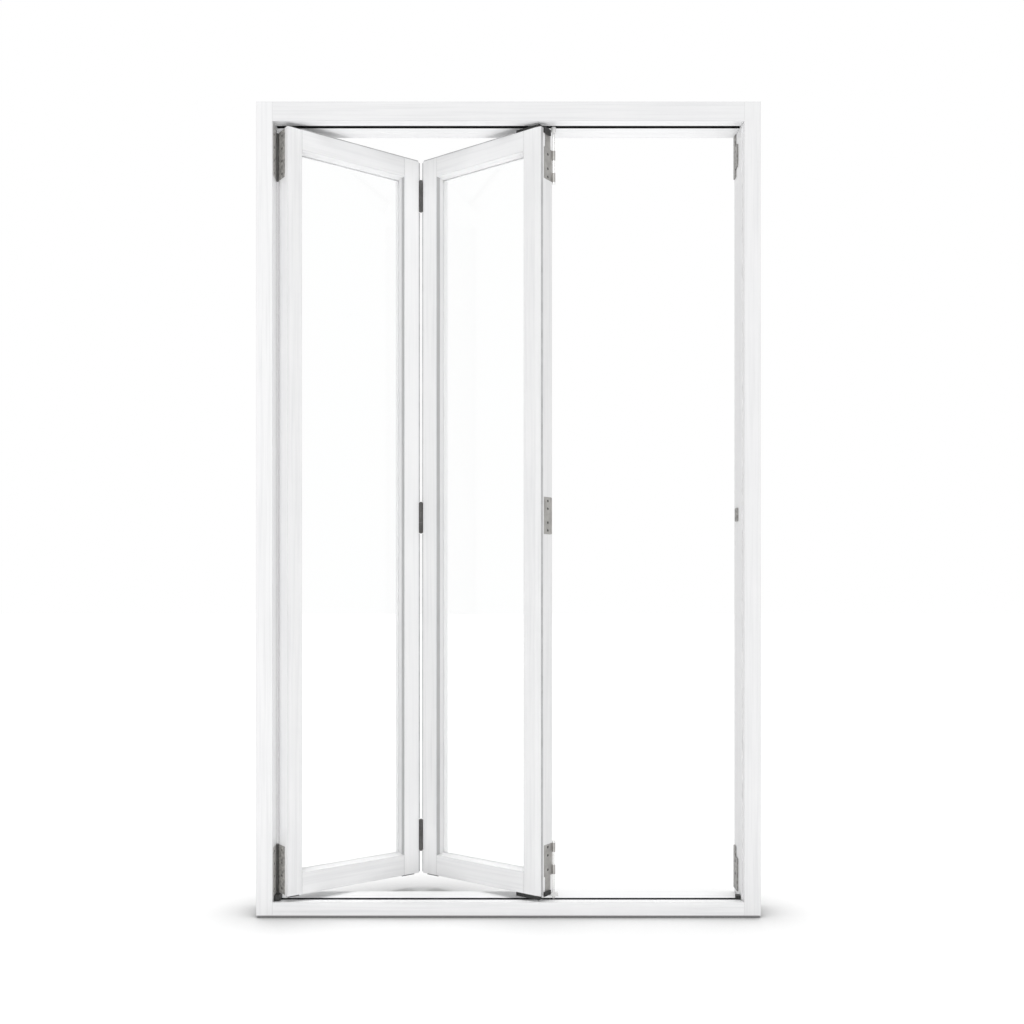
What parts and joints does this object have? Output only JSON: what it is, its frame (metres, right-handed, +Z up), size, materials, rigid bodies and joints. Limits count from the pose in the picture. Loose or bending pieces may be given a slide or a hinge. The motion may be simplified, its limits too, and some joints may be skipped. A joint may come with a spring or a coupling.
{
  "type": "bifold door set",
  "caption": "White glazed bifold door pair hung from the left jamb of a full frame, standing partly folded on a top track and a sill channel.",
  "frame": {"origin": "centre of the sill's underside, at mid width and mid depth of the frame", "axes": "+X to the right as seen from the room, +Y away from the room (the way the leaves fold), +Z up"},
  "size_m": [1.302, 0.2823, 2.1],
  "materials": {
    "white_paint": "satin white paint on timber",
    "glass": "clear, polished",
    "hinge_steel": "satin stainless steel",
    "track_black": "black anodised",
    "black_plastic": "matt black nylon",
    "black_rubber": "black rubber seal",
    "grey_rubber": "grey rubber seal",
    "white_plastic": "matt white nylon"
  },
  "bodies": {
    "frame": {"head": "white_paint", "sill": "white_paint", "left_jamb": "white_paint", "right_jamb": "white_paint", "right_jamb_seal": "grey_rubber", "right_jamb_top_bracket": "hinge_steel", "right_jamb_middle_plate": "hinge_steel", "right_jamb_bottom_bracket": "hinge_steel", "right_jamb_foot_block": "black_plastic", "top_track": "track_black", "bottom_guide_channel": "track_black", "pivot_foot_block": "black_plastic", "top_pivot_jamb_plate": "hinge_steel", "bottom_pivot_jamb_plate": "hinge_steel", "top_pivot_pin": "hinge_steel", "bottom_pivot_pin": "hinge_steel"},
    "first_leaf": {"leaf_1_hanging_stile": "white_paint", "leaf_1_meeting_stile": "white_paint", "leaf_1_top_rail": "white_paint", "leaf_1_bottom_rail": "white_paint", "leaf_1_glazing_bead": "white_paint", "leaf_1_glass_pane": "glass", "leaf_1_setting_strip": "black_plastic", "leaf_1_top_seal_block": "black_rubber", "leaf_1_bottom_seal_block": "black_rubber", "top_pivot_leaf_plate": "hinge_steel", "bottom_pivot_leaf_plate": "hinge_steel", "top_knee_hinge_leaf_1_plate": "hinge_steel", "middle_knee_hinge_leaf_1_plate": "hinge_steel", "bottom_knee_hinge_leaf_1_plate": "hinge_steel", "top_knee_hinge_pin": "hinge_steel", "middle_knee_hinge_pin": "hinge_steel", "bottom_knee_hinge_pin": "hinge_steel"},
    "second_leaf": {"leaf_2_meeting_stile": "white_paint", "leaf_2_closing_stile": "white_paint", "leaf_2_top_rail": "white_paint", "leaf_2_bottom_rail": "white_paint", "leaf_2_glazing_bead": "white_paint", "leaf_2_glass_pane": "glass", "leaf_2_setting_strip": "black_plastic", "leaf_2_top_seal_block": "black_rubber", "leaf_2_bottom_seal_block": "black_rubber", "leaf_2_top_edge_cap": "black_plastic", "leaf_2_bottom_edge_cap": "black_plastic", "leaf_2_edge_seal": "grey_rubber", "leaf_2_middle_plate": "hinge_steel", "top_carrier_plate": "hinge_steel", "bottom_carrier_plate": "hinge_steel", "top_knee_hinge_leaf_2_plate": "hinge_steel", "middle_knee_hinge_leaf_2_plate": "hinge_steel", "bottom_knee_hinge_leaf_2_plate": "hinge_steel"},
    "top_carrier": {"carrier_bolt": "hinge_steel", "carrier_collar": "white_plastic", "carrier_body": "hinge_steel"},
    "left_wheels": {"carrier_left_wheel_set": "black_plastic"},
    "right_wheels": {"carrier_right_wheel_set": "black_plastic"},
    "bottom_guide": {"guide_bolt": "hinge_steel", "guide_foot_block": "white_plastic"},
    "roller": {"guide_roller": "black_plastic"}
  },
  "joints": [
    {"name": "fold", "type": "hinge", "parent": "frame", "child": "first_leaf", "pos_m": [-0.60725, -0.008, 1.05], "axis": [0, 0, 1], "range_deg": [-36, 52]},
    {"name": "knee", "type": "hinge", "parent": "first_leaf", "child": "second_leaf", "pos_m": [-0.24417, 0.17916, 1.05], "axis": [0, 0, 1], "range_deg": [-105, 73]},
    {"name": "carrier_swivel", "type": "hinge", "parent": "second_leaf", "child": "top_carrier", "pos_m": [0.11892, -0.008, 2], "axis": [0, 0, 1], "range_deg": [-37, 53]},
    {"name": "guide_swivel", "type": "hinge", "parent": "second_leaf", "child": "bottom_guide", "pos_m": [0.11892, -0.008, 0.1], "axis": [0, 0, 1], "range_deg": [-37, 53]},
    {"name": "left_wheel_spin", "type": "hinge", "parent": "top_carrier", "child": "left_wheels", "pos_m": [0.10492, -0.008, 2.0742], "axis": [0, 1, 0], "continuous": true},
    {"name": "right_wheel_spin", "type": "hinge", "parent": "top_carrier", "child": "right_wheels", "pos_m": [0.13292, -0.008, 2.0742], "axis": [0, 1, 0], "continuous": true},
    {"name": "roller_spin", "type": "hinge", "parent": "bottom_guide", "child": "roller", "pos_m": [0.11892, -0.008, 0.0182], "axis": [0, 0, 1], "continuous": true}
  ],
  "couplings": [
    {"joint": "knee", "follows": "fold", "ratio": -2},
    {"joint": "carrier_swivel", "follows": "fold", "ratio": 1},
    {"joint": "guide_swivel", "follows": "fold", "ratio": 1}
  ]
}
